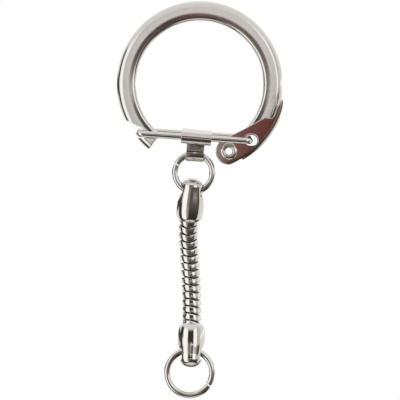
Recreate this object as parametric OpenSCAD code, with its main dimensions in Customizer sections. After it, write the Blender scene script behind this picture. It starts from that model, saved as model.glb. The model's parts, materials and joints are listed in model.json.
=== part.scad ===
// Lever-latch key ring with a snake chain, hanging, in millimetres, +Z up.
// A C-shaped ring of flattened tube is shut by a wire bail that a snap lever pulls tight.
// A sheet-metal hanger on the bail carries a jump ring, a bell cap, a snake chain,
// a second bell cap and the lower jump ring.
// The origin is the centre of the main ring, which lies in the XZ plane.

/* [Main ring] */
// Outer radius of the main ring
ring_r = 15; // [14.8:0.1:15.2]
// Width of the tube, measured in the plane of the ring
band_w = 3.5; // [3.4:0.1:3.6]
// Depth of the tube, measured across the ring
band_d = 2.8; // [2.7:0.05:2.85]
// Wall thickness of the tube
wall = 0.45; // [0.35:0.05:0.5]

/* [Lever] */
// Sheet thickness of the lever
sheet = 0.5; // [0.4:0.05:0.5]
// Radius of the rounded end round the eyelet
heel_r = 2.35; // [2.25:0.05:2.4]

/* [Wire] */
// Radius of the wire of the bail and of both jump rings
wire_r = 0.575; // [0.54:0.005:0.58]
// Mean radius of the upper jump ring
upper_ring_r = 3.375; // [3.3:0.025:3.4]
// Mean radius of the lower jump ring
lower_ring_r = 4.075; // [4:0.025:4.15]

/* [Hanger] */
// Sheet thickness of the hanger
hanger_t = 0.22; // [0.2:0.01:0.26]
// Length of the sleeve along the bail
sleeve_len = 5.4; // [5:0.1:5.4]
// Width of the tongue
tongue_w = 3.2; // [3:0.1:3.2]

/* [Caps] */
// Length of a bell cap from its mouth to the top of its dome
cap_len = 7.8; // [7.7:0.05:7.85]
// Wall thickness of a bell cap
cap_wall = 0.4; // [0.35:0.01:0.42]

/* [Snake chain] */
// Outer radius of a link
link_r = 1.725; // [1.7:0.005:1.73]
// Spacing of the links along the chain
pitch = 1.365; // [1.355:0.005:1.37]
// Clear gap between the edges of neighbouring links
gap = 0.32; // [0.3:0.01:0.34]
// Height of the wave along the edge of a link
wave = 0.45; // [0.35:0.05:0.5]
// Turn of each link about the chain against the one above
twist = 3.5; // [3:0.5:4]

/* [Hidden] */
$fn = 48;
nickel = [0.80, 0.79, 0.77];
bright = [0.86, 0.85, 0.83];
rosy = [0.74, 0.66, 0.63];

// Main ring: the middle of the tube, its rounded edges and its two ends
band_mid = ring_r - band_w / 2;
edge_r = 1.1;
pivot_angle = -66.7;
end_angle = 232;
pivot = [band_mid * cos(pivot_angle), band_mid * sin(pivot_angle)];
heel_plug = 3;

// Eyelet through the lever and the ring
eyelet_r = 1.05;
eyelet_bore = 0.63;
eyelet_head_r = 1.5;
eyelet_head_t = 0.27;
running = 0.05;

// Lever: a channel that straddles the tube
lever_gap = band_d + 0.2;
lever_d = lever_gap + 2 * sheet;
web_r = ring_r + 0.3 + sheet;
web_from = -60.5;
web_to = -15.5;
hole_r = 1.02;
hole_drop = 0.15;
hole_shift = 0.45;

// Bail: a rectangle of wire from the lever to the hook
bail_pin = pivot + 4.33 * [cos(30), sin(30)];
hook_pin = [-10.93, -8.68];
bail_run = bail_pin - hook_pin;
bail_len = norm(bail_run);
bail_tilt = -atan2(bail_run[1], bail_run[0]);
bail_roll = 8;
bail_y = lever_d / 2 + 0.4 + wire_r;
bail_bend = 0.85;

// Hanger: a sleeve round both sides of the bail, and a tongue with a loop
sleeve_in = wire_r + 0.265;
sleeve_out = sleeve_in + hanger_t;
sleeve_x = -9.6;
sleeve_drop = 0.19;
sleeve_tilt = 1.5;
tongue_x = -9.65;
loop_in = 1.25;
loop_out = loop_in + 0.42;
loop_drop = 3.12;
neck_y = 1.15;

// Upper jump ring and cap
upper_ring_c = [-1.1, -16];
upper_cut = 154;
cap_tilt = 5.7;
cap_lean = 13;
cap_grip = 2.405;

// Snake chain: number of links, with the one soldered into each cap, the first pivot's distance
// below the wire and the change of lean per link, then the bore, ball neck and web of a link
links = 15;
first_drop = 5;
lean_step = -1.85;
link_bore = 1.45;
ball_r = 1.36;
ball_top = 0.45;
web_top = -0.41;
web_bottom = -0.68;
neck_bore = 0.8;
wave_turn = -7;
lower_tilt = 2;

// Lower cap and jump ring
mouth_drop = 0.45;
lower_grip = 5.13;
lower_ring_tilt = 3.5;
lower_cut = -33;
lower_cap_turn = -6;
cap_hole_r = 1.4;
cap_hole_at = [5, 5.6];
dome_r = 2;
dome_rise = 1.4;
dome_h = cap_len - dome_rise;

// The chain hangs along a curve in space: tilt turns a link about Y and lean then turns it about X.
function along(tilt, lean) = [-sin(tilt) * cos(lean), sin(lean), -cos(tilt) * cos(lean)];
function link_tilt(i) = i < 4 ? cap_tilt - 3.95 * (i - 1)
  : i < links ? -3.7 + 0.037 * pow(i - 4, 2)
  : lower_tilt;
function link_lean(i) = cap_lean + lean_step * (i - 1);
function link_along(i) = along(link_tilt(i), link_lean(i));
function cap_wire() = [upper_ring_c[0], 0, upper_ring_c[1]] + upper_ring_r * along(cap_tilt, 0);
function link_pivot(i) = i == 1 ? cap_wire() + first_drop * link_along(1)
  : link_pivot(i - 1) + pitch * link_along(i - 1);
function lower_wire() = link_pivot(links) + lower_grip * link_along(links);
function lower_ring_c() = lower_wire() + lower_ring_r * along(lower_ring_tilt, 0);
function wave_z(x) = wave * (abs(x) / link_r - 0.5);

// Puts children at a point of the XZ plane.
module at(p) translate([p[0], 0, p[1]]) children();

// A flat outline of the XZ plane, made thick across it.
module slab(depth) rotate([90, 0, 0]) linear_extrude(depth, center = true) children();

// A pin or bore across the XZ plane.
module cross_pin(r, depth) rotate([90, 0, 0]) cylinder(r = r, h = depth, center = true);

// A profile swept round the Y axis from angle a to angle b of the XZ plane.
module sweep(a, b) rotate([90, 0, 0]) rotate([0, 0, a]) rotate_extrude(angle = b - a) children();

// Section of the tube, or of its hollow when inset by the wall.
module band_section(inset) {
  r = edge_r - inset;
  w = band_w / 2 - inset;
  d = band_d / 2 - inset;
  translate([band_mid, 0]) {
    square([2 * (w - r), 2 * d], center = true);
    square([2 * w, 2 * (d - r)], center = true);
    for (x = [r - w, w - r])
      for (y = [r - d, d - r])
        translate([x, y]) circle(r);
  }
}

// Notch that takes the left end of the bail, with room for its path as the lever opens.
module hook_notch() {
  slab(band_d + 1) polygon([
    [-14.2, -6.15], [-11.3, -7.45], [-10.5, -7.75], [-9.8, -8.0], [-9.35, -8.45],
    [-9.35, -9.35], [-9.8, -9.75], [-10.5, -9.85], [-11.25, -9.68], [-12.6, -10.0]
  ]);
}

// Outer notch of the right end that lets the bail swing in and out with the lever.
module bail_notch() {
  a = atan2(bail_pin[1], bail_pin[0]);
  depth = band_d + 1;
  sweep(a - 6.8, a + 5.2)
    translate([norm(bail_pin) - wire_r - 0.2, -depth / 2])
      square([4, depth]);
}

module ring() {
  color(nickel) difference() {
    union() {
      sweep(pivot_angle, end_angle) band_section(0);
      at(pivot) cross_pin(band_w / 2, 2 * (band_d / 2 - 0.35));
      at(pivot) cross_pin(band_w / 2 - 0.35, band_d);
    }
    sweep(pivot_angle + 9, end_angle - heel_plug) band_section(wall);
    at(pivot) cross_pin(eyelet_r, band_d + 1);
    hook_notch();
    bail_notch();
  }
}

// Side outline of the lever: a rounded heel, straight sides and a pointed tip.
module lever_outline() {
  translate(pivot) circle(heel_r);
  polygon([
    pivot, pivot + [-1.08, 1.8], [11.7, -6.12], [13.05, -6.25], [13.6, -5.1], [14.0, -4.1],
    [14.7, -2.95], [14.92, -2.78], [14.98, -3.5], [14.85, -4.5], [14.55, -5.7], [14.25, -6.65],
    [16.5, -7.2], [16.5, -12], [10.5, -13.5], [9.3, -12.85], [7.7, -13.62], [7.55, -13.42],
    pivot + [0.6, -2.27]
  ]);
}

module lever() {
  color(rosy) difference() {
    intersection() {
      sweep(-90, 0) translate([9, -lever_d / 2]) square([web_r - 9, lever_d]);
      slab(lever_d) lever_outline();
    }
    sweep(-100, 10) translate([8, -lever_gap / 2]) square([web_r - sheet - 8, lever_gap]);
    sweep(-100, web_from) translate([15, -lever_gap / 2]) square([2, lever_gap]);
    sweep(web_to, 10) translate([15, -lever_gap / 2]) square([2, lever_gap]);
    at(pivot) cross_pin(eyelet_r + running, lever_d + 1);
    for (s = [0, hole_shift])
      at(bail_pin + [s, -hole_drop]) cross_pin(hole_r, lever_d + 1);
  }
}

// Hollow rivet with a rolled head on each side.
module eyelet() {
  face = lever_d / 2 + running;
  color(bright) at(pivot) rotate([90, 0, 0]) difference() {
    union() {
      cylinder(r = eyelet_r, h = 2 * face + 0.2, center = true);
      for (s = [0, 1]) mirror([0, 0, s]) translate([0, 0, face]) {
        cylinder(r = eyelet_head_r - 0.12, h = eyelet_head_t);
        rotate_extrude() translate([eyelet_head_r - 0.12, eyelet_head_t - 0.12]) circle(0.12);
        cylinder(r = eyelet_head_r, h = eyelet_head_t - 0.12);
      }
    }
    cylinder(r = eyelet_bore, h = lever_d + 4, center = true);
  }
}

// Frame of the bail: its right cross wire is the local Y axis, and it runs along local -X.
module bail_frame() at(bail_pin) rotate([0, bail_tilt, 0]) children();

module bail() {
  straight = bail_y - bail_bend;
  color(bright) bail_frame() rotate([bail_roll, 0, 0]) {
    for (x = [0, -bail_len])
      translate([x, 0, 0]) cross_pin(wire_r, 2 * straight);
    for (y = [-bail_y, bail_y])
      translate([-bail_len + bail_bend, y, 0]) rotate([0, 90, 0])
        cylinder(r = wire_r, h = bail_len - 2 * bail_bend);
    for (c = [[-bail_bend, straight, 0], [-bail_len + bail_bend, straight, 90],
              [-bail_len + bail_bend, -straight, 180], [-bail_bend, -straight, 270]])
      translate([c[0], c[1], 0]) rotate([0, 0, c[2]])
        rotate_extrude(angle = 90) translate([bail_bend, 0]) circle(wire_r);
  }
}

// Solid bar with the sleeve's flat oval section, of half height r, hung a little loosely on the wire.
module oval_bar(r, len) {
  translate([sleeve_x, 0, 0]) rotate([bail_roll, sleeve_tilt, 0]) translate([0, 0, -sleeve_drop]) {
    cube([len, 2 * bail_y, 2 * r], center = true);
    for (y = [-bail_y, bail_y])
      translate([0, y, 0]) rotate([0, 90, 0]) cylinder(r = r, h = len, center = true);
  }
}

// Solid bar with the tongue's section: a loop below and a neck of half width w above it.
module tongue_bar(r, w, top, len) {
  translate([0, 0, -loop_drop]) rotate([0, 90, 0]) cylinder(r = r, h = len, center = true);
  translate([-len / 2, -w, -loop_drop]) cube([len, 2 * w, loop_drop + top]);
}

module hanger() {
  color(bright) bail_frame() difference() {
    union() {
      oval_bar(sleeve_out, sleeve_len);
      translate([tongue_x, 0, 0]) tongue_bar(loop_out, neck_y, 0, tongue_w);
    }
    oval_bar(sleeve_in, sleeve_len + 1);
    translate([tongue_x, 0, 0])
      tongue_bar(loop_in, neck_y - hanger_t, -sleeve_out - 0.5, tongue_w + 1);
  }
}

// Open wire ring with a narrow cut at the given angle.
module jump_ring(r, cut) {
  half_cut = 1.2;
  sweep(cut + half_cut, cut + 360 - half_cut) translate([r, 0]) circle(wire_r);
}

module upper_jump_ring() color(bright) at(upper_ring_c) jump_ring(upper_ring_r, upper_cut);

module lower_jump_ring() color(bright) translate(lower_ring_c()) jump_ring(lower_ring_r, lower_cut);

// Half section of a bell cap, mouth at height 0, dome up.
module cap_outside() {
  polygon(concat(
    [[0, 0], [1.85, 0], [2.1, 0.15], [2.32, 0.5], [2.44, 1.1], [2.48, 1.9], [2.46, 2.9],
     [2.36, 4], [2.18, 5], [2.04, 5.7]],
    [for (t = [0:10:90]) [dome_r * cos(t), dome_h + dome_rise * sin(t)]]
  ));
}
module cap_inside() {
  mouth = link_r - 0.02;
  polygon(concat(
    [[0, -1], [mouth, -1], [mouth, 0.55], [1.95, 1.1], [2.08, 1.9], [2.06, 2.9],
     [1.96, 4], [1.78, 5], [dome_r - cap_wall, 5.8]],
    [for (t = [0:15:90]) [(dome_r - cap_wall) * cos(t), dome_h + (dome_rise - cap_wall) * sin(t)]]
  ));
}

// Bell cap standing on its mouth, with a cross hole along X for a jump ring.
module bell_cap() {
  difference() {
    rotate_extrude() cap_outside();
    rotate_extrude() cap_inside();
    for (h = cap_hole_at)
      translate([0, 0, h]) rotate([0, 90, 0]) cylinder(r = cap_hole_r, h = 8, center = true);
    translate([-4, -cap_hole_r, cap_hole_at[0]])
      cube([8, 2 * cap_hole_r, cap_hole_at[1] - cap_hole_at[0]]);
  }
}

module upper_cap() {
  color(nickel) translate(cap_wire()) rotate([cap_lean, cap_tilt, 0])
    translate([0, 0, cap_grip - cap_len]) bell_cap();
}

module lower_cap() {
  color(nickel) translate(link_pivot(links)) rotate([link_lean(links), lower_tilt, 0])
    translate([0, 0, -mouth_drop]) rotate([180, 0, lower_cap_turn]) bell_cap();
}

// One link of the chain, from its own pivot down: a wavy tube, a web and a ball neck above.
module snake_link() {
  reach = link_r + 0.5;
  high = -gap / 2;
  low = -pitch + gap / 2;
  difference() {
    intersection() {
      translate([0, 0, -pitch - 1]) cylinder(r = link_r, h = pitch + 2);
      slab(2 * reach) polygon([
        [-reach, high + wave_z(reach)], [0, high + wave_z(0)], [reach, high + wave_z(reach)],
        [reach, low + wave_z(reach)], [0, low + wave_z(0)], [-reach, low + wave_z(reach)]
      ]);
    }
    translate([0, 0, -pitch - 1.5]) cylinder(r = link_bore, h = pitch + 3);
  }
  difference() {
    union() {
      translate([0, 0, web_bottom]) cylinder(r = link_bore + 0.1, h = web_top - web_bottom);
      intersection() {
        sphere(ball_r);
        translate([0, 0, web_top - 0.05]) cylinder(r = 2, h = ball_top - web_top + 0.05);
      }
    }
    translate([0, 0, -pitch]) cylinder(r = neck_bore, h = 2 * pitch);
  }
}

module placed_link(i) {
  color(nickel) translate(link_pivot(i)) rotate([link_lean(i), link_tilt(i), 0])
    rotate([0, 0, wave_turn + twist * (i - 1)]) snake_link();
}
module snake_link_01() placed_link(1);
module snake_link_02() placed_link(2);
module snake_link_03() placed_link(3);
module snake_link_04() placed_link(4);
module snake_link_05() placed_link(5);
module snake_link_06() placed_link(6);
module snake_link_07() placed_link(7);
module snake_link_08() placed_link(8);
module snake_link_09() placed_link(9);
module snake_link_10() placed_link(10);
module snake_link_11() placed_link(11);
module snake_link_12() placed_link(12);
module snake_link_13() placed_link(13);
module snake_link_14() placed_link(14);
module snake_link_15() placed_link(15);

ring();
lever();
eyelet();
bail();
hanger();
upper_jump_ring();
upper_cap();
snake_link_01();
snake_link_02();
snake_link_03();
snake_link_04();
snake_link_05();
snake_link_06();
snake_link_07();
snake_link_08();
snake_link_09();
snake_link_10();
snake_link_11();
snake_link_12();
snake_link_13();
snake_link_14();
snake_link_15();
lower_cap();
lower_jump_ring();
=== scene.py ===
import json
import math
from contextlib import contextmanager

import bmesh
import bpy
from mathutils import Matrix, Vector


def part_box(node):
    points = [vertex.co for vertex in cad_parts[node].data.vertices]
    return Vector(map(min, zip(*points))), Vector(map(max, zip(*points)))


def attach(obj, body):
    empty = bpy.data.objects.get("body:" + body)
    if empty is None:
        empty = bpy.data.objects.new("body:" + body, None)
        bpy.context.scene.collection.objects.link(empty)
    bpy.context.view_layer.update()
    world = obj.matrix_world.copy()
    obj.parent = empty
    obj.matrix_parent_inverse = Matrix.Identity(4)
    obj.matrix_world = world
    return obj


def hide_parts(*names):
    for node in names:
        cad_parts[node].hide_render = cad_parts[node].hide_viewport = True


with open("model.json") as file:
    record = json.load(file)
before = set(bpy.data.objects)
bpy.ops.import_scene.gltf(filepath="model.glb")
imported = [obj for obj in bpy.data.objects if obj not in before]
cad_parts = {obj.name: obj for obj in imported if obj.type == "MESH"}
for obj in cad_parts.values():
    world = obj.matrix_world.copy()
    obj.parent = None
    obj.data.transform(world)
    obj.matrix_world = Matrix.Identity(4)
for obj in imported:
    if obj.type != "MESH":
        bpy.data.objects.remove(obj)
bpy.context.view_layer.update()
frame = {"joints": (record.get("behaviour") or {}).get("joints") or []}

# Lengths below are in millimetres, and MM turns them into Blender's metres.
MM = 0.001
JOINTS = {joint["name"]: joint for joint in frame["joints"]}


def joint_at(name):
    """Place of a joint, in millimetres."""
    return Vector(JOINTS[name]["pos_m"]) / MM


def node_box(name):
    """Lowest and highest corner of a CAD node, in millimetres."""
    low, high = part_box(name)
    return low / MM, high / MM


# Main ring, from its packed box
RING_R = node_box("ring")[1].z
BAND_D = node_box("ring")[1].y - node_box("ring")[0].y
BAND_W = 3.5
BAND_MID = RING_R - BAND_W / 2
WALL = 0.45
END_ANGLE = 232
END_PLUG = 3
HEEL_PLUG = 9
END_SOFT = 0.18
RIVET_HOLE_R = 1.08
NOTCH_BACK = 6.8
NOTCH_ON = 5.2
NOTCH_CLEAR = 0.2
NOTCH_HEIGHT = 4
SWEEP_STEP = 1.2

# Lever, with its pivot and the pin of the bail
PIVOT = joint_at("lever_pivot")
BAIL_PIN = joint_at("bail_pivot")
PIVOT_ANGLE = math.degrees(math.atan2(PIVOT.z, PIVOT.x))
SHEET = 0.5
LEVER_D = node_box("lever")[1].y - node_box("lever")[0].y
WEB_R = RING_R + 0.3 + SHEET
WEB_FROM = -60.5
WEB_TO = -15.5
BEND_R = 0.85
HEEL_R = 2.35
LEVER_FROM = -92
LEVER_SECTIONS = 82
LEVER_SOFT = 0.14
LEVER_RIVET_R = 1.1
BAIL_HOLE_R = 1.02
BAIL_HOLE_DROP = 0.15
BAIL_HOLE_SHIFT = 0.45
BAIL_HOLE_SOFT = 0.12
SPLAY = 0.028
SPLAY_RISE = 1.0

# Eyelet
EYELET_BORE_R = 0.63
EYELET_SHANK_R = 1.05
EYELET_SEAT = 0.04

# Bail and jump rings
WIRE_R = (node_box("lower_jump_ring")[1].y - node_box("lower_jump_ring")[0].y) / 2
HOOK_PIN = Vector((-10.93, 0, -8.68))
BAIL_LEN = (BAIL_PIN - HOOK_PIN).length
BAIL_TILT = math.degrees(math.atan2(HOOK_PIN.z - BAIL_PIN.z, BAIL_PIN.x - HOOK_PIN.x))
BAIL_ROLL = 8
BAIL_Y = LEVER_D / 2 + 0.4 + WIRE_R
BAIL_BEND = 0.85
UPPER_CUT = 154
LOWER_CUT = -33

# Hanger
HANGER_T = 0.22
SLEEVE_LEN = 5.4
SLEEVE_X = -9.6
SLEEVE_DROP = 0.19
SLEEVE_TILT = 1.5
SLEEVE_OUT = WIRE_R + 0.265 + HANGER_T
TONGUE_X = -9.65
TONGUE_W = 3.2
SLEEVE_SOFT = 0.08
TONGUE_SOFT = 0.07

# Caps and chain
CAP_LEN = 7.8
CAP_WALL = 0.4
CAP_HOLE_R = 1.4
CAP_HOLE_AT = (5.0, 5.6)
CAP_TILT = 5.7
CAP_LEAN = 13
CAP_GRIP = 2.405
CAP_WIRE_RISE = 5.0
DOME_R = 2
DOME_RISE = 1.4
LOWER_CAP_TURN = -6
MOUTH_DROP = 0.45
LINKS = 15
LINK_R = 1.725
NECK_WEB_R = LINK_R - 0.2
PITCH = 1.365
GAP = 0.32
WAVE = 0.45
TWIST = 3.5
WAVE_TURN = -7
LEAN_STEP = -1.85
BEND_LINK = 4
UPPER_TILT_STEP = 3.95
MIDDLE_TILT = -3.7
MIDDLE_CURVE = 0.037
LOWER_TILT = 2

# Camera, in millimetres, and floor, in metres
CAMERA_AT = (0.04, -301.5, -20.95)
FLOOR_R = 2.0
FLOOR_DEPTH = 0.4


def link_tilt(i):
    """Turn of a link about Y, in degrees."""
    if i < BEND_LINK:
        return CAP_TILT - UPPER_TILT_STEP * (i - 1)
    if i < LINKS:
        return MIDDLE_TILT + MIDDLE_CURVE * (i - BEND_LINK) ** 2
    return LOWER_TILT


def link_lean(i):
    """Turn of a link about X, in degrees."""
    return CAP_LEAN + LEAN_STEP * (i - 1)


def place(at, lean=0.0, tilt=0.0, turn=0.0):
    """Matrix that turns about Z, then X, then Y, and moves to a point."""
    turns = [(tilt, "Y"), (lean, "X"), (turn, "Z")]
    matrix = Matrix.Translation(at)
    for angle, axis in turns:
        matrix = matrix @ Matrix.Rotation(math.radians(angle), 4, axis)
    return matrix


def link_place(i):
    """Frame of a link: its pivot, with local Z back up the chain."""
    if i > 1:
        kind = "side" if i % 2 == 0 else "fore"
        at = joint_at(f"snake_{i:02d}_{kind}")
    else:
        at = link_place(2).translation - PITCH * chain_direction(1)
    return place(at, link_lean(i), link_tilt(i))


def chain_direction(i):
    """Unit vector down the chain at a link."""
    return place(Vector(), link_lean(i), link_tilt(i)) @ Vector((0, 0, -1))


# ---------------------------------------------------------------- shapes


def arc(centre, radius, start, end, steps):
    """Points of an arc in a plane, angles in degrees."""
    angles = [math.radians(start + (end - start) * k / steps) for k in range(steps + 1)]
    return [(centre[0] + radius * math.cos(a), centre[1] + radius * math.sin(a)) for a in angles]


def smooth_line(points, steps):
    """Catmull-Rom curve through points, with the given number of steps between two."""
    padded = [2 * points[0] - points[1], *points, 2 * points[-1] - points[-2]]
    out = []
    for a, b, c, d in zip(padded, padded[1:], padded[2:], padded[3:]):
        for k in range(steps):
            t = k / steps
            out.append(0.5 * (2 * b + (c - a) * t + (2 * a - 5 * b + 4 * c - d) * t ** 2
                              + (3 * b - a - 3 * c + d) * t ** 3))
    return [*out, points[-1]]


def grow(outline, amount):
    """A closed outline moved outward by an amount along its corners' normals."""
    least = 0.4
    area = sum(a[0] * b[1] - b[0] * a[1] for a, b in zip(outline, outline[1:] + outline[:1]))
    side = 1 if area > 0 else -1
    out = []
    for i, here in enumerate(outline):
        back, on = Vector(outline[i - 1]), Vector(outline[(i + 1) % len(outline)])
        here = Vector(here)
        a, b = (here - back).normalized(), (on - here).normalized()
        na, nb = Vector((a.y, -a.x)) * side, Vector((b.y, -b.x)) * side
        mitre = (na + nb) / max(least, 1 + na.dot(nb))
        out.append(tuple(here + mitre * amount))
    return out


def skin(loops, closed=False):
    """Vertices and faces of the closed skin over equal loops of points."""
    count, size = len(loops), len(loops[0])
    verts = [tuple(p) for loop in loops for p in loop]
    faces = []
    for i in range(count if closed else count - 1):
        j = (i + 1) % count
        for k in range(size):
            m = (k + 1) % size
            faces.append((i * size + k, i * size + m, j * size + m, j * size + k))
    if not closed:
        faces.append(tuple(reversed(range(size))))
        faces.append(tuple(range((count - 1) * size, count * size)))
    return verts, faces


def lathe(profile, steps=96):
    """Solid turned about local Z from a closed profile of (radius, height)."""
    loops = []
    for k in range(steps):
        a = 2 * math.pi * k / steps
        loops.append([(r * math.cos(a), r * math.sin(a), z) for r, z in profile])
    return skin(loops, closed=True)


def slab(outline, half, flare=0.0, rim=0.0):
    """Plate of the XZ plane from an outline. Its edge is rounded inward by rim at each face,
    or it widens by flare past each face, as the cutter of a hole with a soft edge does."""
    steps = 5
    levels = []
    if flare:
        for k in range(steps + 1):
            a = math.pi / 2 * k / steps
            levels.append((half - flare * math.cos(a), flare * (1 - math.sin(math.pi / 2 - a))))
        levels.append((half + 1, flare))
    elif rim:
        for k in range(steps + 1):
            a = math.pi / 2 * k / steps
            levels.append((half - rim * (1 - math.sin(a)), -rim * (1 - math.cos(a))))
    else:
        levels = [(half, 0.0)]
    sides = [(-y, g) for y, g in reversed(levels)] + levels
    return skin([[(x, y, z) for x, z in grow(outline, g)] for y, g in sides])


def tube(path, normal, radius, closed=False):
    """Round wire along a flat path whose plane has the given normal, with soft open ends."""
    steps, rim, soft_turns = 28, 0.06, (1.57, 0.8, 0.0)
    count = len(path)
    frames = []
    for i, here in enumerate(path):
        ahead = path[(i + 1) % count] if closed or i < count - 1 else here
        behind = path[i - 1] if closed or i > 0 else here
        along = (ahead - behind).normalized()
        frames.append((here, normal.cross(along), along))
    sections = [(here, side, radius) for here, side, _ in frames]
    if not closed:
        soft = [(rim * (1 - math.sin(a)), radius - rim * (1 - math.cos(a))) for a in soft_turns]
        here, side, along = frames[0]
        first = [(here + along * back, side, r) for back, r in soft]
        here, side, along = frames[-1]
        last = [(here - along * back, side, r) for back, r in reversed(soft)]
        sections = first + sections[1:-1] + last
    turns = [2 * math.pi * k / steps for k in range(steps)]
    rings = [[here + side * r * math.cos(a) + normal * r * math.sin(a) for a in turns]
             for here, side, r in sections]
    return skin(rings, closed)


@contextmanager
def editing(mesh):
    """Opens a mesh for bmesh operators and writes the result back."""
    work = bmesh.new()
    work.from_mesh(mesh)
    yield work
    work.to_mesh(mesh)
    work.free()


def solid(shape, matrix=None):
    """Object with a closed mesh from vertices and faces in millimetres, in the shared frame."""
    verts, faces = shape
    mesh = bpy.data.meshes.new("solid")
    mesh.from_pydata([tuple(v) for v in verts], [], faces)
    if matrix is not None:
        mesh.transform(matrix)
    mesh.transform(Matrix.Scale(MM, 4))
    with editing(mesh) as work:
        bmesh.ops.recalc_face_normals(work, faces=work.faces)
    made = bpy.data.objects.new("solid", mesh)
    bpy.context.scene.collection.objects.link(made)
    return made


def combine(base, other, operation):
    """Boolean of two solids. Base takes the result, and other is used up."""
    modifier = base.modifiers.new("combine", "BOOLEAN")
    modifier.operation = operation
    modifier.solver = "EXACT"
    modifier.object = other
    bpy.context.view_layer.update()
    graph = bpy.context.evaluated_depsgraph_get()
    mesh = bpy.data.meshes.new_from_object(base.evaluated_get(graph))
    base.modifiers.clear()
    base.data = mesh
    bpy.data.objects.remove(other)


def cut_away(base, shape, matrix=None):
    """Takes a shape out of a solid."""
    combine(base, solid(shape, matrix), "DIFFERENCE")


def move_mesh(made, matrix):
    """Moves the mesh itself by a matrix in millimetres."""
    made.data.transform(Matrix.Scale(MM, 4) @ matrix @ Matrix.Scale(1 / MM, 4))


def weld(made):
    """Merges the slivers that a boolean leaves."""
    distance = 0.0004 * MM
    with editing(made.data) as work:
        bmesh.ops.remove_doubles(work, verts=work.verts, dist=distance)
        bmesh.ops.dissolve_degenerate(work, edges=work.edges, dist=distance)
    return made


def merge_flat(made):
    """Joins faces that lie in one plane, so that a flat side has one true normal."""
    angle = math.radians(0.2)
    with editing(made.data) as work:
        bmesh.ops.dissolve_limit(work, verts=work.verts, edges=work.edges, angle_limit=angle)
    return made


def finish_piece(made, name, body, material, node, sharp=32):
    """Names a piece, gives it its finish and puts it in the place of its CAD node. Edges are
    drawn sharp from the given angle on."""
    made.name = made.data.name = name
    made.data.materials.clear()
    made.data.materials.append(material)
    made.data.shade_smooth()
    made.data.set_sharp_from_angle(angle=math.radians(sharp))
    weighted = made.modifiers.new("normals", "WEIGHTED_NORMAL")
    weighted.keep_sharp = True
    weighted.weight = 80
    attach(made, body)
    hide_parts(node)


# ---------------------------------------------------------------- finishes


def shader(material):
    """Turns on a material's nodes. Returns the node tree and its Principled shader."""
    material.use_nodes = True
    tree = material.node_tree
    return tree, tree.nodes["Principled BSDF"]


def add_node(tree, kind, **values):
    """A shader node with its properties and its inputs' values set."""
    made = tree.nodes.new(kind)
    for key, value in values.items():
        if key in made.bl_rna.properties:
            setattr(made, key, value)
        else:
            made.inputs[key.replace("_", " ")].default_value = value
    return made


def math_node(tree, operation, *values, clamp=False):
    """Output of a Math node whose inputs are numbers or sockets."""
    made = tree.nodes.new("ShaderNodeMath")
    made.operation = operation
    made.use_clamp = clamp
    for slot, value in zip(made.inputs, values):
        if isinstance(value, (int, float)):
            slot.default_value = value
        else:
            tree.links.new(value, slot)
    return made.outputs[0]


def ramp(tree, factor, stops):
    """Colour ramp over a factor, from (position, grey or colour) stops."""
    made = tree.nodes.new("ShaderNodeValToRGB")
    stops_now = made.color_ramp.elements
    while len(stops_now) < len(stops):
        stops_now.new(0.5)
    for element, (position, colour) in zip(stops_now, stops):
        element.position = position
        element.color = (*colour, 1) if isinstance(colour, tuple) else (colour, colour, colour, 1)
    tree.links.new(factor, made.inputs["Fac"])
    return made.outputs["Color"]


def mixed(tree, factor, below, colour):
    """Colour socket with a plain colour laid over another by a factor socket."""
    made = tree.nodes.new("ShaderNodeMix")
    made.data_type = "RGBA"
    colours = [slot for slot in made.inputs if slot.type == "RGBA"]
    tree.links.new(factor, made.inputs[0])
    if isinstance(below, tuple):
        colours[0].default_value = (*below, 1)
    else:
        tree.links.new(below, colours[0])
    colours[1].default_value = (*colour, 1)
    return [slot for slot in made.outputs if slot.type == "RGBA"][0]


WORN_EDGE = (0.87, 0.85, 0.82)
# Near-black colour of painted shade, laid into the recesses that a mesh marks.
RECESS_SHADE_COLOUR = (0.03, 0.026, 0.022)


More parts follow.
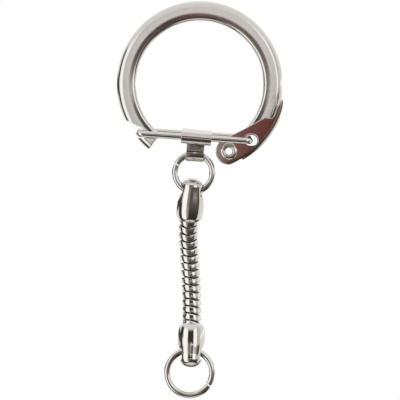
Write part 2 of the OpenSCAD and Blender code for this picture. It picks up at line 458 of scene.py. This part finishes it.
def nickel(name, tint, rough, grain, grain_scale=(1, 1, 1), haze=0.5):
    """Bright nickel plate: a faint mottle in the colour, a hazy mottle in the gloss, hairline
    scratches, tiny pits, worn edges and, where a mesh marks its recesses, painted shade: a
    near-black colour in place of the shade that falls in deep gaps."""
    material = bpy.data.materials.new(name)
    tree, metal = shader(material)
    metal.inputs["Metallic"].default_value = 1.0
    metal.inputs["Specular IOR Level"].default_value = 0.5
    where = tree.nodes.new("ShaderNodeTexCoord").outputs["Object"]

    def noise(scale, detail, stretch=(1, 1, 1), distort=0.0):
        mapping = add_node(tree, "ShaderNodeMapping")
        mapping.inputs["Scale"].default_value = stretch
        tree.links.new(where, mapping.inputs["Vector"])
        made = add_node(tree, "ShaderNodeTexNoise", Scale=scale, Detail=detail,
                        Distortion=distort)
        tree.links.new(mapping.outputs["Vector"], made.inputs["Vector"])
        return made.outputs["Fac"]

    cloud = noise(260, 4)
    fine = noise(2400, 3)
    hair = noise(900, 2, grain_scale, 0.4)
    pits = noise(5200, 1)
    dark = tuple(c * 0.93 for c in tint)
    warm = (tint[0], tint[1] * 0.985, tint[2] * 0.96)
    colour = ramp(tree, cloud, [(0.3, dark), (0.52, tint), (0.75, warm)])
    edge = tree.nodes.new("ShaderNodeNewGeometry").outputs["Pointiness"]
    worn = math_node(tree, "MULTIPLY", math_node(tree, "SUBTRACT", edge, 0.53), 9.0, clamp=True)
    colour = mixed(tree, math_node(tree, "MULTIPLY", worn, 0.6), colour, WORN_EDGE)
    # Painted shade: where the mesh marks a recess, the colour is turned almost black, standing in
    # for the shade in the gaps between chain links.
    painted_shade = add_node(tree, "ShaderNodeAttribute", attribute_name="painted_shade").outputs["Fac"]
    colour = mixed(tree, math_node(tree, "MULTIPLY", painted_shade, 0.93), colour, RECESS_SHADE_COLOUR)
    tree.links.new(colour, metal.inputs["Base Color"])
    mottle = math_node(tree, "MULTIPLY_ADD", cloud, haze * rough, rough * (1 - haze / 2))
    gloss = math_node(tree, "MULTIPLY_ADD", fine, rough * 0.5, mottle)
    tree.links.new(math_node(tree, "MULTIPLY_ADD", worn, rough * 0.5, gloss),
                   metal.inputs["Roughness"])
    relief = math_node(tree, "MULTIPLY_ADD", pits, 0.35, hair)
    bump = add_node(tree, "ShaderNodeBump", Strength=grain, Distance=0.00002)
    tree.links.new(relief, bump.inputs["Height"])
    tree.links.new(bump.outputs["Normal"], metal.inputs["Normal"])
    return material


RING_PLATE = nickel("ring_plate", (0.80, 0.775, 0.75), 0.10, 0.05, (1, 0.15, 1))
LEVER_PLATE = nickel("lever_plate", (0.78, 0.75, 0.72), 0.06, 0.04, (0.3, 1, 1))
EYELET_PLATE = nickel("eyelet_plate", (0.84, 0.82, 0.79), 0.08, 0.04)
WIRE_PLATE = nickel("wire", (0.83, 0.815, 0.79), 0.08, 0.05)
HANGER_PLATE = nickel("hanger_plate", (0.72, 0.70, 0.67), 0.10, 0.06, (0.2, 1, 1))
CAP_PLATE = nickel("cap_plate", (0.82, 0.80, 0.77), 0.06, 0.03)
CHAIN_PLATE = nickel("chain_plate", (0.81, 0.795, 0.765), 0.09, 0.05)


# ---------------------------------------------------------------- main ring


def half_section():
    """Front half of the tube's section, from the inner wall to the outer wall: a soft inner
    edge, a gently crowned shoulder, a flat face and a full outer edge behind a slight crease."""
    inner = arc((-1.04, 0.63), 0.71, 180, 98, 10)
    crown = smooth_line([Vector((-1.1, 1.337)), Vector((-0.85, 1.363)), Vector((-0.6, 1.385)),
                         Vector((-0.38, 1.397)), Vector((-0.2, BAND_D / 2))], 4)
    crease, flat_end = 14, 0.65
    radius = (BAND_W / 2 - flat_end) / (1 - math.sin(math.radians(crease)))
    outer = arc((BAND_W / 2 - radius, 0), radius, 90 - crease, 3, 14)
    return [*inner[:-1], *(tuple(p) for p in crown), (0.2, BAND_D / 2), (0.64, BAND_D / 2),
            *outer]


def band_section(inset=0.0):
    """Section of the tube, or of its hollow: (out from the middle, along the ring's axis)."""
    front = half_section()
    outline = front + [(u, -v) for u, v in reversed(front)]
    return grow(outline, -inset) if inset else outline


def ring_point(angle, out, across):
    """Point of the band at an angle of the ring."""
    a = math.radians(angle)
    return Vector(((BAND_MID + out) * math.cos(a), across, (BAND_MID + out) * math.sin(a)))


def band(start, end, inset=0.0, rim=0.0, round_start=False):
    """Swept tube from one angle of the ring to another. It can start with a round, thinner
    heel and finish with a soft edge."""
    loops = []
    per_mm = math.degrees(1 / BAND_MID)
    if round_start:
        half = BAND_W / 2
        for a in range(88, 0, -8):
            s = half * math.sin(math.radians(a))
            f = math.sqrt(1 - (s / half) ** 2)
            loops.append([ring_point(start - s * per_mm, u * f, v * (0.55 + 0.45 * f))
                          for u, v in band_section(inset)])
    count = round((end - start) / SWEEP_STEP)
    for k in range(count if rim else count + 1):
        angle = start + (end - start) * k / count
        loops.append([ring_point(angle, u, v) for u, v in band_section(inset)])
    if rim:
        for a in (0, 30, 60, 85):
            a = math.radians(a)
            back = rim * (1 - math.sin(a)) * per_mm
            loops.append([ring_point(end - back, u, v)
                          for u, v in band_section(rim * (1 - math.cos(a)))])
    return skin(loops)


HOOK_NOTCH = [(-14.2, -6.15), (-11.3, -7.45), (-10.5, -7.75), (-9.8, -8.0), (-9.35, -8.45),
              (-9.35, -9.35), (-9.8, -9.75), (-10.5, -9.85), (-11.25, -9.68), (-12.6, -10.0)]


def round_hole(at, radius, half):
    """Cutter of a round hole along Y."""
    steps = 48
    return slab(arc((at.x, at.z), radius, 0, 360 - 360 / steps, steps - 1), half)


def make_ring():
    """Hollow tube, cut out for the hook, the rivet and the bail."""
    made = solid(band(PIVOT_ANGLE, END_ANGLE, rim=END_SOFT, round_start=True))
    cut_away(made, band(PIVOT_ANGLE + HEEL_PLUG, END_ANGLE - END_PLUG, inset=WALL))
    past = 0.5
    reach = BAND_D / 2 + past
    cut_away(made, slab(HOOK_NOTCH, reach))
    cut_away(made, round_hole(PIVOT, RIVET_HOLE_R, BAND_D))
    pin_angle = math.degrees(math.atan2(BAIL_PIN.z, BAIL_PIN.x))
    start, end = pin_angle - NOTCH_BACK, pin_angle + NOTCH_ON
    notch_r = math.hypot(BAIL_PIN.x, BAIL_PIN.z) - WIRE_R - NOTCH_CLEAR
    notch = arc((0, 0), notch_r, start, end, 12)
    notch += arc((0, 0), notch_r + NOTCH_HEIGHT, end, start, 12)
    cut_away(made, slab(notch, reach))
    finish_piece(weld(made), "main_ring_tube", "main_ring", RING_PLATE, "ring",
                 sharp=11)


# ---------------------------------------------------------------- lever


def lever_section():
    """U section of the lever: (radius from the ring's centre, along the ring's axis)."""
    half, foot = LEVER_D / 2, 9.0
    bend = (WEB_R - BEND_R, half - BEND_R)
    outer = arc(bend, BEND_R, 90, 0, 10)
    inner = arc(bend, BEND_R - SHEET, 0, 90, 6)
    top = [(foot, half), *outer]
    lower = [(r, -y) for r, y in reversed(top)]
    inside_low = [(r, -y) for r, y in inner]
    return [*top, *lower, (foot, SHEET - half), *reversed(inside_low), *inner,
            (foot, half - SHEET)]


def lever_outline():
    """Side outline of the lever: round heel, straight flange, long upper edge, pointed tip."""
    heel = arc((PIVOT.x, PIVOT.z), HEEL_R, 115, 285, 34)
    return [*heel, (7.45, -13.48), (7.6, -13.52), (7.8, -13.72), (9.3, -12.85), (10.5, -13.5),
            (16.5, -12), (16.5, -7.2), (14.25, -6.65), (14.55, -5.7), (14.85, -4.5),
            (14.98, -3.5), (14.92, -2.78), (14.7, -2.95), (14.35, -3.5), (14.0, -4.15),
            (13.62, -5.1), (13.3, -5.85), (13.0, -6.2), (12.5, -6.22), (11.7, -6.12),
            (8.0, -8.15)]


def web_trim(start, end):
    """Cutter that leaves only the two flanges of the lever between two angles."""
    loop = arc((0, 0), RING_R - 0.5, start, end, 16) + arc((0, 0), WEB_R + 1, end, start, 16)
    return slab(loop, LEVER_D / 2 - SHEET)


def make_lever():
    """Folded channel, cut to its side outline, with its web, rivet hole and bail hole. The
    sides stand apart above the pivot and close up below it."""
    beyond_heel, beyond_tip = LEVER_FROM - 2, 8
    loops = []
    for k in range(LEVER_SECTIONS):
        a = math.radians(LEVER_FROM + SWEEP_STEP * k)
        loops.append([(r * math.cos(a), y, r * math.sin(a)) for r, y in lever_section()])
    made = solid(skin(loops))
    side = slab(lever_outline(), LEVER_D / 2 + 0.001, rim=LEVER_SOFT)
    combine(made, solid(side), "INTERSECT")
    cut_away(made, web_trim(beyond_heel, WEB_FROM))
    cut_away(made, web_trim(WEB_TO, beyond_tip))
    cut_away(made, round_hole(PIVOT, LEVER_RIVET_R, LEVER_D))
    pin = Vector((BAIL_PIN.x, BAIL_PIN.z - BAIL_HOLE_DROP))
    oval = arc(pin, BAIL_HOLE_R, 90, 270, 20)
    oval += arc(pin + Vector((BAIL_HOLE_SHIFT, 0)), BAIL_HOLE_R, -90, 90, 20)
    cut_away(made, slab(oval, LEVER_D / 2, flare=BAIL_HOLE_SOFT))
    for vert in made.data.vertices:
        drop = (vert.co.z / MM - PIVOT.z - SPLAY_RISE) * SPLAY
        vert.co.y *= 1 + drop / (LEVER_D / 2)
    made = merge_flat(weld(made))
    finish_piece(made, "snap_lever", "lever", LEVER_PLATE, "lever")


def make_eyelet():
    """Hollow rivet, lathed from its bore over the rolled head to its shank."""
    face = LEVER_D / 2 + EYELET_SEAT
    rise = node_box("eyelet")[1].y - face
    head = [(0.75, 0.62), (0.88, 0.93), (1.02, 1), (1.18, 0.93), (1.33, 0.72), (1.44, 0.42),
            (1.49, 0.14)]
    half = [(EYELET_BORE_R, 0.0), (EYELET_BORE_R, face - 0.15), (0.66, face),
            *((r, face + rise * part) for r, part in head), (1.47, face),
            (EYELET_SHANK_R, face)]
    profile = half + [(r, -y) for r, y in reversed(half) if y > 0]
    across = Matrix.Translation((PIVOT.x, 0, PIVOT.z)) @ Matrix.Rotation(math.pi / 2, 4, "X")
    made = solid(lathe(profile, 72), across)
    finish_piece(made, "rolled_eyelet", "main_ring", EYELET_PLATE, "eyelet",
                 sharp=50)


# ---------------------------------------------------------------- bail and hanger

BAIL_PLACE = place(BAIL_PIN, 0, BAIL_TILT)


def make_bail():
    """Rectangle of round wire with bent corners, which lies in the lever and in the hook."""
    path = []
    x0, x1, y = -BAIL_BEND, BAIL_BEND - BAIL_LEN, BAIL_Y - BAIL_BEND
    for cx, cy, start in ((x0, y, 0), (x1, y, 90), (x1, -y, 180), (x0, -y, 270)):
        path += [Vector((px, py, 0)) for px, py in arc((cx, cy), BAIL_BEND, start, start + 90, 10)]
    wire = tube(path, Vector((0, 0, 1)), WIRE_R, closed=True)
    matrix = BAIL_PLACE @ Matrix.Rotation(math.radians(BAIL_ROLL), 4, "X")
    finish_piece(solid(wire, matrix), "wire_bail", "bail", WIRE_PLATE, "bail")


def extrude_x(outline, x, length, rim):
    """Bar along X with the given (y, z) outline and soft ends."""
    left = [(x - length / 2 + rim * (1 - math.cos(math.radians(a))),
             -rim * (1 - math.sin(math.radians(a)))) for a in (0, 30, 60, 90)]
    right = [(2 * x - px, inset) for px, inset in reversed(left)]
    return skin([[(px, y, z) for y, z in grow(outline, inset)] for px, inset in left + right])


def strip(face, thick):
    """Closed outline of a bent strip of sheet, from its pressed front face. The hollow side is
    drawn from every fourth point, so that its tighter bends don't cross."""
    back = []
    for i in range(0, len(face), 4):
        ahead, behind = face[min(i + 4, len(face) - 1)], face[max(i - 4, 0)]
        along = (ahead - behind).normalized()
        back.append(tuple(face[i] + Vector((-along.y, along.x)) * thick))
    return [tuple(p) for p in face] + back[::-1]


def make_hanger():
    """Sleeve round both wires of the bail, with a tongue rolled into a loop below it."""
    out = SLEEVE_OUT
    sleeve = arc((BAIL_Y, 0), out, -90, 90, 24) + arc((-BAIL_Y, 0), out, 90, 270, 24)
    inner = out - HANGER_T
    hollow = arc((BAIL_Y, 0), inner, -90, 90, 20) + arc((-BAIL_Y, 0), inner, 90, 270, 20)
    hung = place(Vector((SLEEVE_X, 0, 0)), BAIL_ROLL, SLEEVE_TILT)
    hung = BAIL_PLACE @ hung @ Matrix.Translation((0, 0, -SLEEVE_DROP))
    made = solid(extrude_x(sleeve, 0, SLEEVE_LEN, SLEEVE_SOFT), hung)
    front = [(-0.99, -0.9), (-0.965, -1.2), (-0.94, -1.5), (-0.955, -1.75), (-0.93, -2.0),
             (-0.94, -2.2), (-1.12, -2.4), (-1.43, -2.6), (-1.52, -2.9), (-1.535, -3.2),
             (-1.51, -3.45), (-1.43, -3.75), (-1.17, -4.15), (-0.78, -4.47), (-0.38, -4.61)]
    line = [Vector(p) for p in front] + [Vector((0, -4.63))]
    line += [Vector((-p[0], p[1])) for p in reversed(front)]
    tongue = strip(smooth_line(line, 4), HANGER_T)
    tongue = extrude_x(tongue, TONGUE_X, TONGUE_W, TONGUE_SOFT)
    combine(made, solid(tongue, BAIL_PLACE), "UNION")
    cut_away(made, skin([[(x, y, z) for y, z in hollow] for x in (-SLEEVE_LEN, SLEEVE_LEN)]),
             hung)
    finish_piece(weld(made), "sheet_hanger", "hanger", HANGER_PLATE, "hanger")


def make_jump_ring(name, node, body, centre, radius, cut):
    """Wire ring in the XZ plane, cut open at an angle."""
    half_cut, steps = 1.3, 168
    turns = arc((0, 0), radius, cut + half_cut, cut + 360 - half_cut, steps)
    path = [centre + Vector((x, 0, z)) for x, z in turns]
    wire = tube(path, Vector((0, 1, 0)), WIRE_R)
    finish_piece(solid(wire), name, body, WIRE_PLATE, node)


def make_upper_jump_ring():
    centre = joint_at("cap_swing")
    radius = joint_at("jump_ring_swing").z - centre.z
    make_jump_ring("jump_ring_upper", "upper_jump_ring", "upper_ring", centre, radius, UPPER_CUT)


def make_lower_jump_ring():
    low, high = node_box("lower_jump_ring")
    radius = (high.x - low.x) / 2 - WIRE_R
    make_jump_ring("jump_ring_lower", "lower_jump_ring", "lower_ring", (low + high) / 2, radius,
                   LOWER_CUT)


# ---------------------------------------------------------------- caps


def cap_profile():
    """Half section of a bell cap in four runs, mouth at height 0: (radius, height)."""
    side = [(1.78, 0.0), (1.9, 0.02), (2.03, 0.1), (2.18, 0.28), (2.33, 0.58), (2.43, 1.1),
            (2.48, 1.9), (2.46, 2.9), (2.36, 4.0), (2.18, 5.0), (2.05, 5.7)]
    side = [tuple(p) for p in smooth_line([Vector(p) for p in side], 4)]
    shoulder = CAP_LEN - DOME_RISE

    def dome_line(angles, wall):
        turns = [math.radians(a) for a in angles]
        return [((DOME_R - wall) * math.cos(a), shoulder + (DOME_RISE - wall) * math.sin(a))
                for a in turns]

    dome = dome_line(range(0, 90, 6), 0)
    inner_dome = dome_line(range(84, -1, -12), CAP_WALL)
    inner = [(1.78, 5.0), (1.96, 4.0), (2.06, 2.9), (2.08, 1.9), (1.95, 1.1), (1.72, 0.55),
             (1.72, 0.06)]
    return side, dome, inner_dome, inner


def cap_shape():
    """Bell cap as one closed skin, standing on its mouth."""
    side, dome, inner_dome, inner = cap_profile()
    outside = side + dome
    inside = inner_dome + inner
    steps = 96
    verts, faces = [], []

    def turn(line):
        first = len(verts)
        for r, z in line:
            for k in range(steps):
                a = 2 * math.pi * k / steps
                verts.append((r * math.cos(a), r * math.sin(a), z))
        for i in range(len(line) - 1):
            for k in range(steps):
                m = (k + 1) % steps
                faces.append((first + i * steps + k, first + i * steps + m,
                              first + (i + 1) * steps + m, first + (i + 1) * steps + k))
        return first

    def tip(ring, height):
        verts.append((0, 0, height))
        for k in range(steps):
            faces.append((ring + k, ring + (k + 1) % steps, len(verts) - 1))

    start = turn(outside)
    tip(start + (len(outside) - 1) * steps, CAP_LEN)
    inside_start = turn(inside)
    tip(inside_start, CAP_LEN - CAP_WALL)
    last = inside_start + (len(inside) - 1) * steps
    for k in range(steps):
        m = (k + 1) % steps
        faces.append((start + k, start + m, last + m, last + k))
    return verts, faces


def make_cap(name, body, matrix):
    """Bell cap with a soft edged cross hole for the wire of a jump ring."""
    low, high = CAP_HOLE_AT
    reach, soft = 2.35, 0.25
    hole = arc((0, high), CAP_HOLE_R, 0, 180, 24) + arc((0, low), CAP_HOLE_R, 180, 360, 24)
    made = solid(cap_shape())
    cut_away(made, slab(hole, reach, flare=soft), Matrix.Rotation(math.pi / 2, 4, "Z"))
    move_mesh(made, matrix)
    finish_piece(weld(made), name, body, CAP_PLATE, body, sharp=40)


def make_upper_cap():
    wire = link_place(1).translation - CAP_WIRE_RISE * chain_direction(1)
    hung = place(wire, CAP_LEAN, CAP_TILT)
    make_cap("bell_cap_upper", "upper_cap",
             hung @ Matrix.Translation((0, 0, CAP_GRIP - CAP_LEN)))


def make_lower_cap():
    mouth = link_place(LINKS) @ Matrix.Translation((0, 0, -MOUTH_DROP))
    turned = Matrix.Rotation(math.pi, 4, "X") @ place(Vector(), 0, 0, LOWER_CAP_TURN)
    make_cap("bell_cap_lower", "lower_cap", mouth @ turned)


# ---------------------------------------------------------------- snake chain


def link_shell():
    """Wavy tube of one link, from its own pivot down, with soft rims and a slight belly."""
    steps, wall, belly, rim = 96, 0.275, 0.03, 0.08
    high, low = -GAP / 2, -PITCH + GAP / 2
    corner = [math.radians(a) for a in (0, 22.5, 45, 67.5, 90)]
    top = [(rim * math.cos(a) - rim, rim * math.sin(a) - rim) for a in corner]
    foot = [(out, -up) for out, up in reversed(top)]
    loops = []
    for k in range(steps):
        a = 2 * math.pi * k / steps
        rise = WAVE * (abs(math.cos(a)) - 0.5)
        side = [(belly * (1 - (2 * t - 1) ** 4), low + rise + rim + t * (high - low - 2 * rim))
                for t in (0.2, 0.4, 0.6, 0.8)]
        line = [(-wall, high + rise), *((o, high + rise + u) for o, u in reversed(top)),
                *reversed(side), *((o, low + rise + u) for o, u in reversed(foot)),
                (-wall, low + rise)]
        loops.append([((LINK_R - belly + out) * math.cos(a), (LINK_R - belly + out) * math.sin(a),
                       z) for out, z in line])
    return skin(loops, closed=True)


def link_neck():
    """Ball neck of a link, which sits in the link above, and the web that carries it."""
    ball, waist, bore = 1.36, 1.2, 0.8
    web_top, web_foot, ball_top = -0.41, -0.68, 0.45
    profile = [(bore, web_foot), (NECK_WEB_R, web_foot), (NECK_WEB_R, web_top),
               (waist + 0.05, web_top), (waist, web_top + 0.06), (waist, 0.16),
               (waist + 0.1, 0.24), (ball - 0.02, 0.34), (ball - 0.04, ball_top - 0.04),
               (ball - 0.1, ball_top), (bore, ball_top)]
    return lathe(profile, 96)


def make_link_mesh():
    """One link in its own frame, with the points inside its shell marked for painted shade in the
    neck's recess.
    """
    made = solid(link_shell())
    combine(made, solid(link_neck()), "UNION")
    weld(made)
    # Marks the neck inside the shell, where the material paints near-black shade for the gap
    # between links.
    painted_shade = made.data.attributes.new("painted_shade", "FLOAT", "POINT")
    for vert, value in zip(made.data.vertices, painted_shade.data):
        value.value = 1.0 if math.hypot(vert.co.x, vert.co.y) < NECK_WEB_R * MM else 0.0
    return made


def make_links():
    """The chain. Its first and last links ride with the caps, which they are soldered into."""
    ends = {1: "upper_cap", LINKS: "lower_cap"}
    pattern = make_link_mesh()
    for i in range(1, LINKS + 1):
        made = bpy.data.objects.new("solid", pattern.data.copy())
        bpy.context.scene.collection.objects.link(made)
        turn = Matrix.Rotation(math.radians(WAVE_TURN + TWIST * (i - 1)), 4, "Z")
        move_mesh(made, link_place(i) @ turn)
        finish_piece(made, f"chain_link_{i:02d}", ends.get(i, f"link_{i:02d}"),
                     CHAIN_PLATE, f"snake_link_{i:02d}", sharp=50)
    bpy.data.objects.remove(pattern)


# ---------------------------------------------------------------- stage


def make_camera():
    """Camera along +Y, level with the middle of the object."""
    data = bpy.data.cameras.new("camera")
    data.lens, data.sensor_width = 150, 36
    made = bpy.data.objects.new("camera", data)
    made.location = [c * MM for c in CAMERA_AT]
    made.rotation_euler = (math.pi / 2, 0, 0)
    bpy.context.scene.collection.objects.link(made)
    bpy.context.scene.camera = made


def make_floor():
    """Round pale floor far below the hanging object. It doesn't show in the metal."""
    data = bpy.data.meshes.new("floor")
    steps = 128
    turns = [2 * math.pi * k / steps for k in range(steps)]
    rim = [(FLOOR_R * math.cos(a), FLOOR_R * math.sin(a), -FLOOR_DEPTH) for a in turns]
    data.from_pydata(rim, [], [tuple(range(steps))])
    material = bpy.data.materials.new("floor")
    tree, paint = shader(material)
    paint.inputs["Roughness"].default_value = 0.9
    where = tree.nodes.new("ShaderNodeTexCoord").outputs["Object"]
    speckle = add_node(tree, "ShaderNodeTexNoise", Scale=60.0, Detail=3.0)
    tree.links.new(where, speckle.inputs["Vector"])
    tree.links.new(ramp(tree, speckle.outputs["Fac"], [(0.3, 0.86), (0.7, 0.89)]),
                   paint.inputs["Base Color"])
    data.materials.append(material)
    made = bpy.data.objects.new("floor", data)
    bpy.context.scene.collection.objects.link(made)
    made.visible_glossy = False


DARK = (0.042, 0.035, 0.03)
WHITE = (1.15, 1.15, 1.12)
GREY = (0.80, 0.78, 0.765)
GROUND = (0.74, 0.71, 0.67)
CEILING = (0.78, 0.765, 0.745)
BACK_WALL = (0.88, 0.87, 0.83)

# Boxes and cards of the studio, each painted over those before it. Directions are in degrees,
# azimuth 0 is the camera's and rises to the right: azimuth from and to, elevation from and to,
# colour, softness of the upright edges and of the level ones.
STUDIO = [
    # Dark side by the camera
    ((-22, 70), (-26, 2), (0.105, 0.085, 0.073), (6, 10)),
    # White box on the left, with a pale strip beside it and two grey shades to its right
    ((-86, -28), (-1, 8.5), GREY, (2, 1.5)),
    ((-76, -32), (-50, 32), WHITE, (5, 5)),
    ((-36, -16), (-40, -14), (0.42, 0.38, 0.35), (6, 6)),
    ((-30, -10), (-14, 8), (0.28, 0.26, 0.245), (7, 5)),
    # White box on the right, with a dim band below it and two greyer boxes to its right
    ((14, 60), (-14, -4), (0.22, 0.20, 0.19), (7, 6)),
    ((19, 52), (-3, 32), WHITE, (5, 5)),
    ((56, 80), (-2, 32), (0.62, 0.60, 0.57), (4, 4)),
    ((80, 110), (-45, 34), (0.80, 0.79, 0.76), (4, 6)),
    # Level strips behind: dark on the left, white on the right
    ((-150, -84), (-2, 9), (0.06, 0.052, 0.045), (2, 3)),
    ((84, 180), (1.8, 6.5), WHITE, (3, 1)),
    # Boards round the camera, which the flat faces mirror
    ((-10, 3), (-7, 1.4), (0.15, 0.10, 0.09), (4, 1)),
    ((-9, 20), (3.4, 6), GREY, (2, 0.5)),
    ((-3.4, 3.6), (-2.3, 9.5), GREY, (0.5, 0.3)),
    # Reddish card with a dark lower part, which the sides of the lever mirror
    ((0.3, 6), (-6, 1.5), (0.185, 0.045, 0.036), (0.3, 0.2)),
    ((1.9, 6), (-6, -0.85), (0.035, 0.022, 0.02), (0.3, 0.12)),
    # Small reddish card
    ((-2.75, -2.05), (2.5, 3.3), (0.24, 0.085, 0.075), (0.2, 0.35)),
]


def make_light():
    """A soft studio round the object: the boxes above, a pale wall behind, a pale ceiling and
    ground, and dark between them. The camera itself sees plain white."""
    world = bpy.data.worlds.new("studio")
    bpy.context.scene.world = world
    world.use_nodes = True
    tree = world.node_tree
    tree.nodes.clear()
    where = tree.nodes.new("ShaderNodeTexCoord").outputs["Generated"]
    split = tree.nodes.new("ShaderNodeSeparateXYZ")
    tree.links.new(where, split.inputs[0])
    x, y, z = split.outputs
    to_degrees = 180 / math.pi
    azimuth = math_node(tree, "MULTIPLY",
                        math_node(tree, "ARCTAN2", x, math_node(tree, "MULTIPLY", y, -1.0)),
                        to_degrees)
    elevation = math_node(tree, "MULTIPLY", math_node(tree, "ARCSINE", z), to_degrees)

    def step_up(value, edge, soft):
        made = tree.nodes.new("ShaderNodeMapRange")
        made.interpolation_type = "SMOOTHSTEP"
        tree.links.new(value, made.inputs["Value"])
        made.inputs["From Min"].default_value = edge - soft
        made.inputs["From Max"].default_value = edge + soft
        return made.outputs["Result"]

    def within(value, low, high, soft):
        inside = math_node(tree, "SUBTRACT", step_up(value, low, soft), step_up(value, high, soft))
        return math_node(tree, "MAXIMUM", inside, 0.0)

    look = mixed(tree, step_up(elevation, -62, 9), GROUND, DARK)
    look = mixed(tree, step_up(elevation, 30, 5), look, CEILING)
    behind = step_up(math_node(tree, "ABSOLUTE", azimuth), 109, 3)
    behind = math_node(tree, "MULTIPLY", behind, step_up(elevation, -34, 8))
    look = mixed(tree, behind, look, BACK_WALL)
    for turn, rise, colour, (turn_soft, rise_soft) in STUDIO:
        inside = math_node(tree, "MULTIPLY", within(azimuth, *turn, turn_soft),
                           within(elevation, *rise, rise_soft))
        look = mixed(tree, inside, look, colour)
    shown = tree.nodes.new("ShaderNodeBackground")
    lit = tree.nodes.new("ShaderNodeBackground")
    tree.links.new(look, lit.inputs["Color"])
    pick = tree.nodes.new("ShaderNodeMixShader")
    tree.links.new(tree.nodes.new("ShaderNodeLightPath").outputs["Is Camera Ray"], pick.inputs[0])
    shown.inputs["Color"].default_value = (1, 1, 1, 1)
    tree.links.new(lit.outputs[0], pick.inputs[1])
    tree.links.new(shown.outputs[0], pick.inputs[2])
    tree.links.new(pick.outputs[0], tree.nodes.new("ShaderNodeOutputWorld").inputs["Surface"])
    bpy.context.scene.view_settings.view_transform = "Standard"


make_camera()
make_light()
make_floor()
make_ring()
make_lever()
make_eyelet()
make_bail()
make_hanger()
make_upper_jump_ring()
make_lower_jump_ring()
make_upper_cap()
make_lower_cap()
make_links()
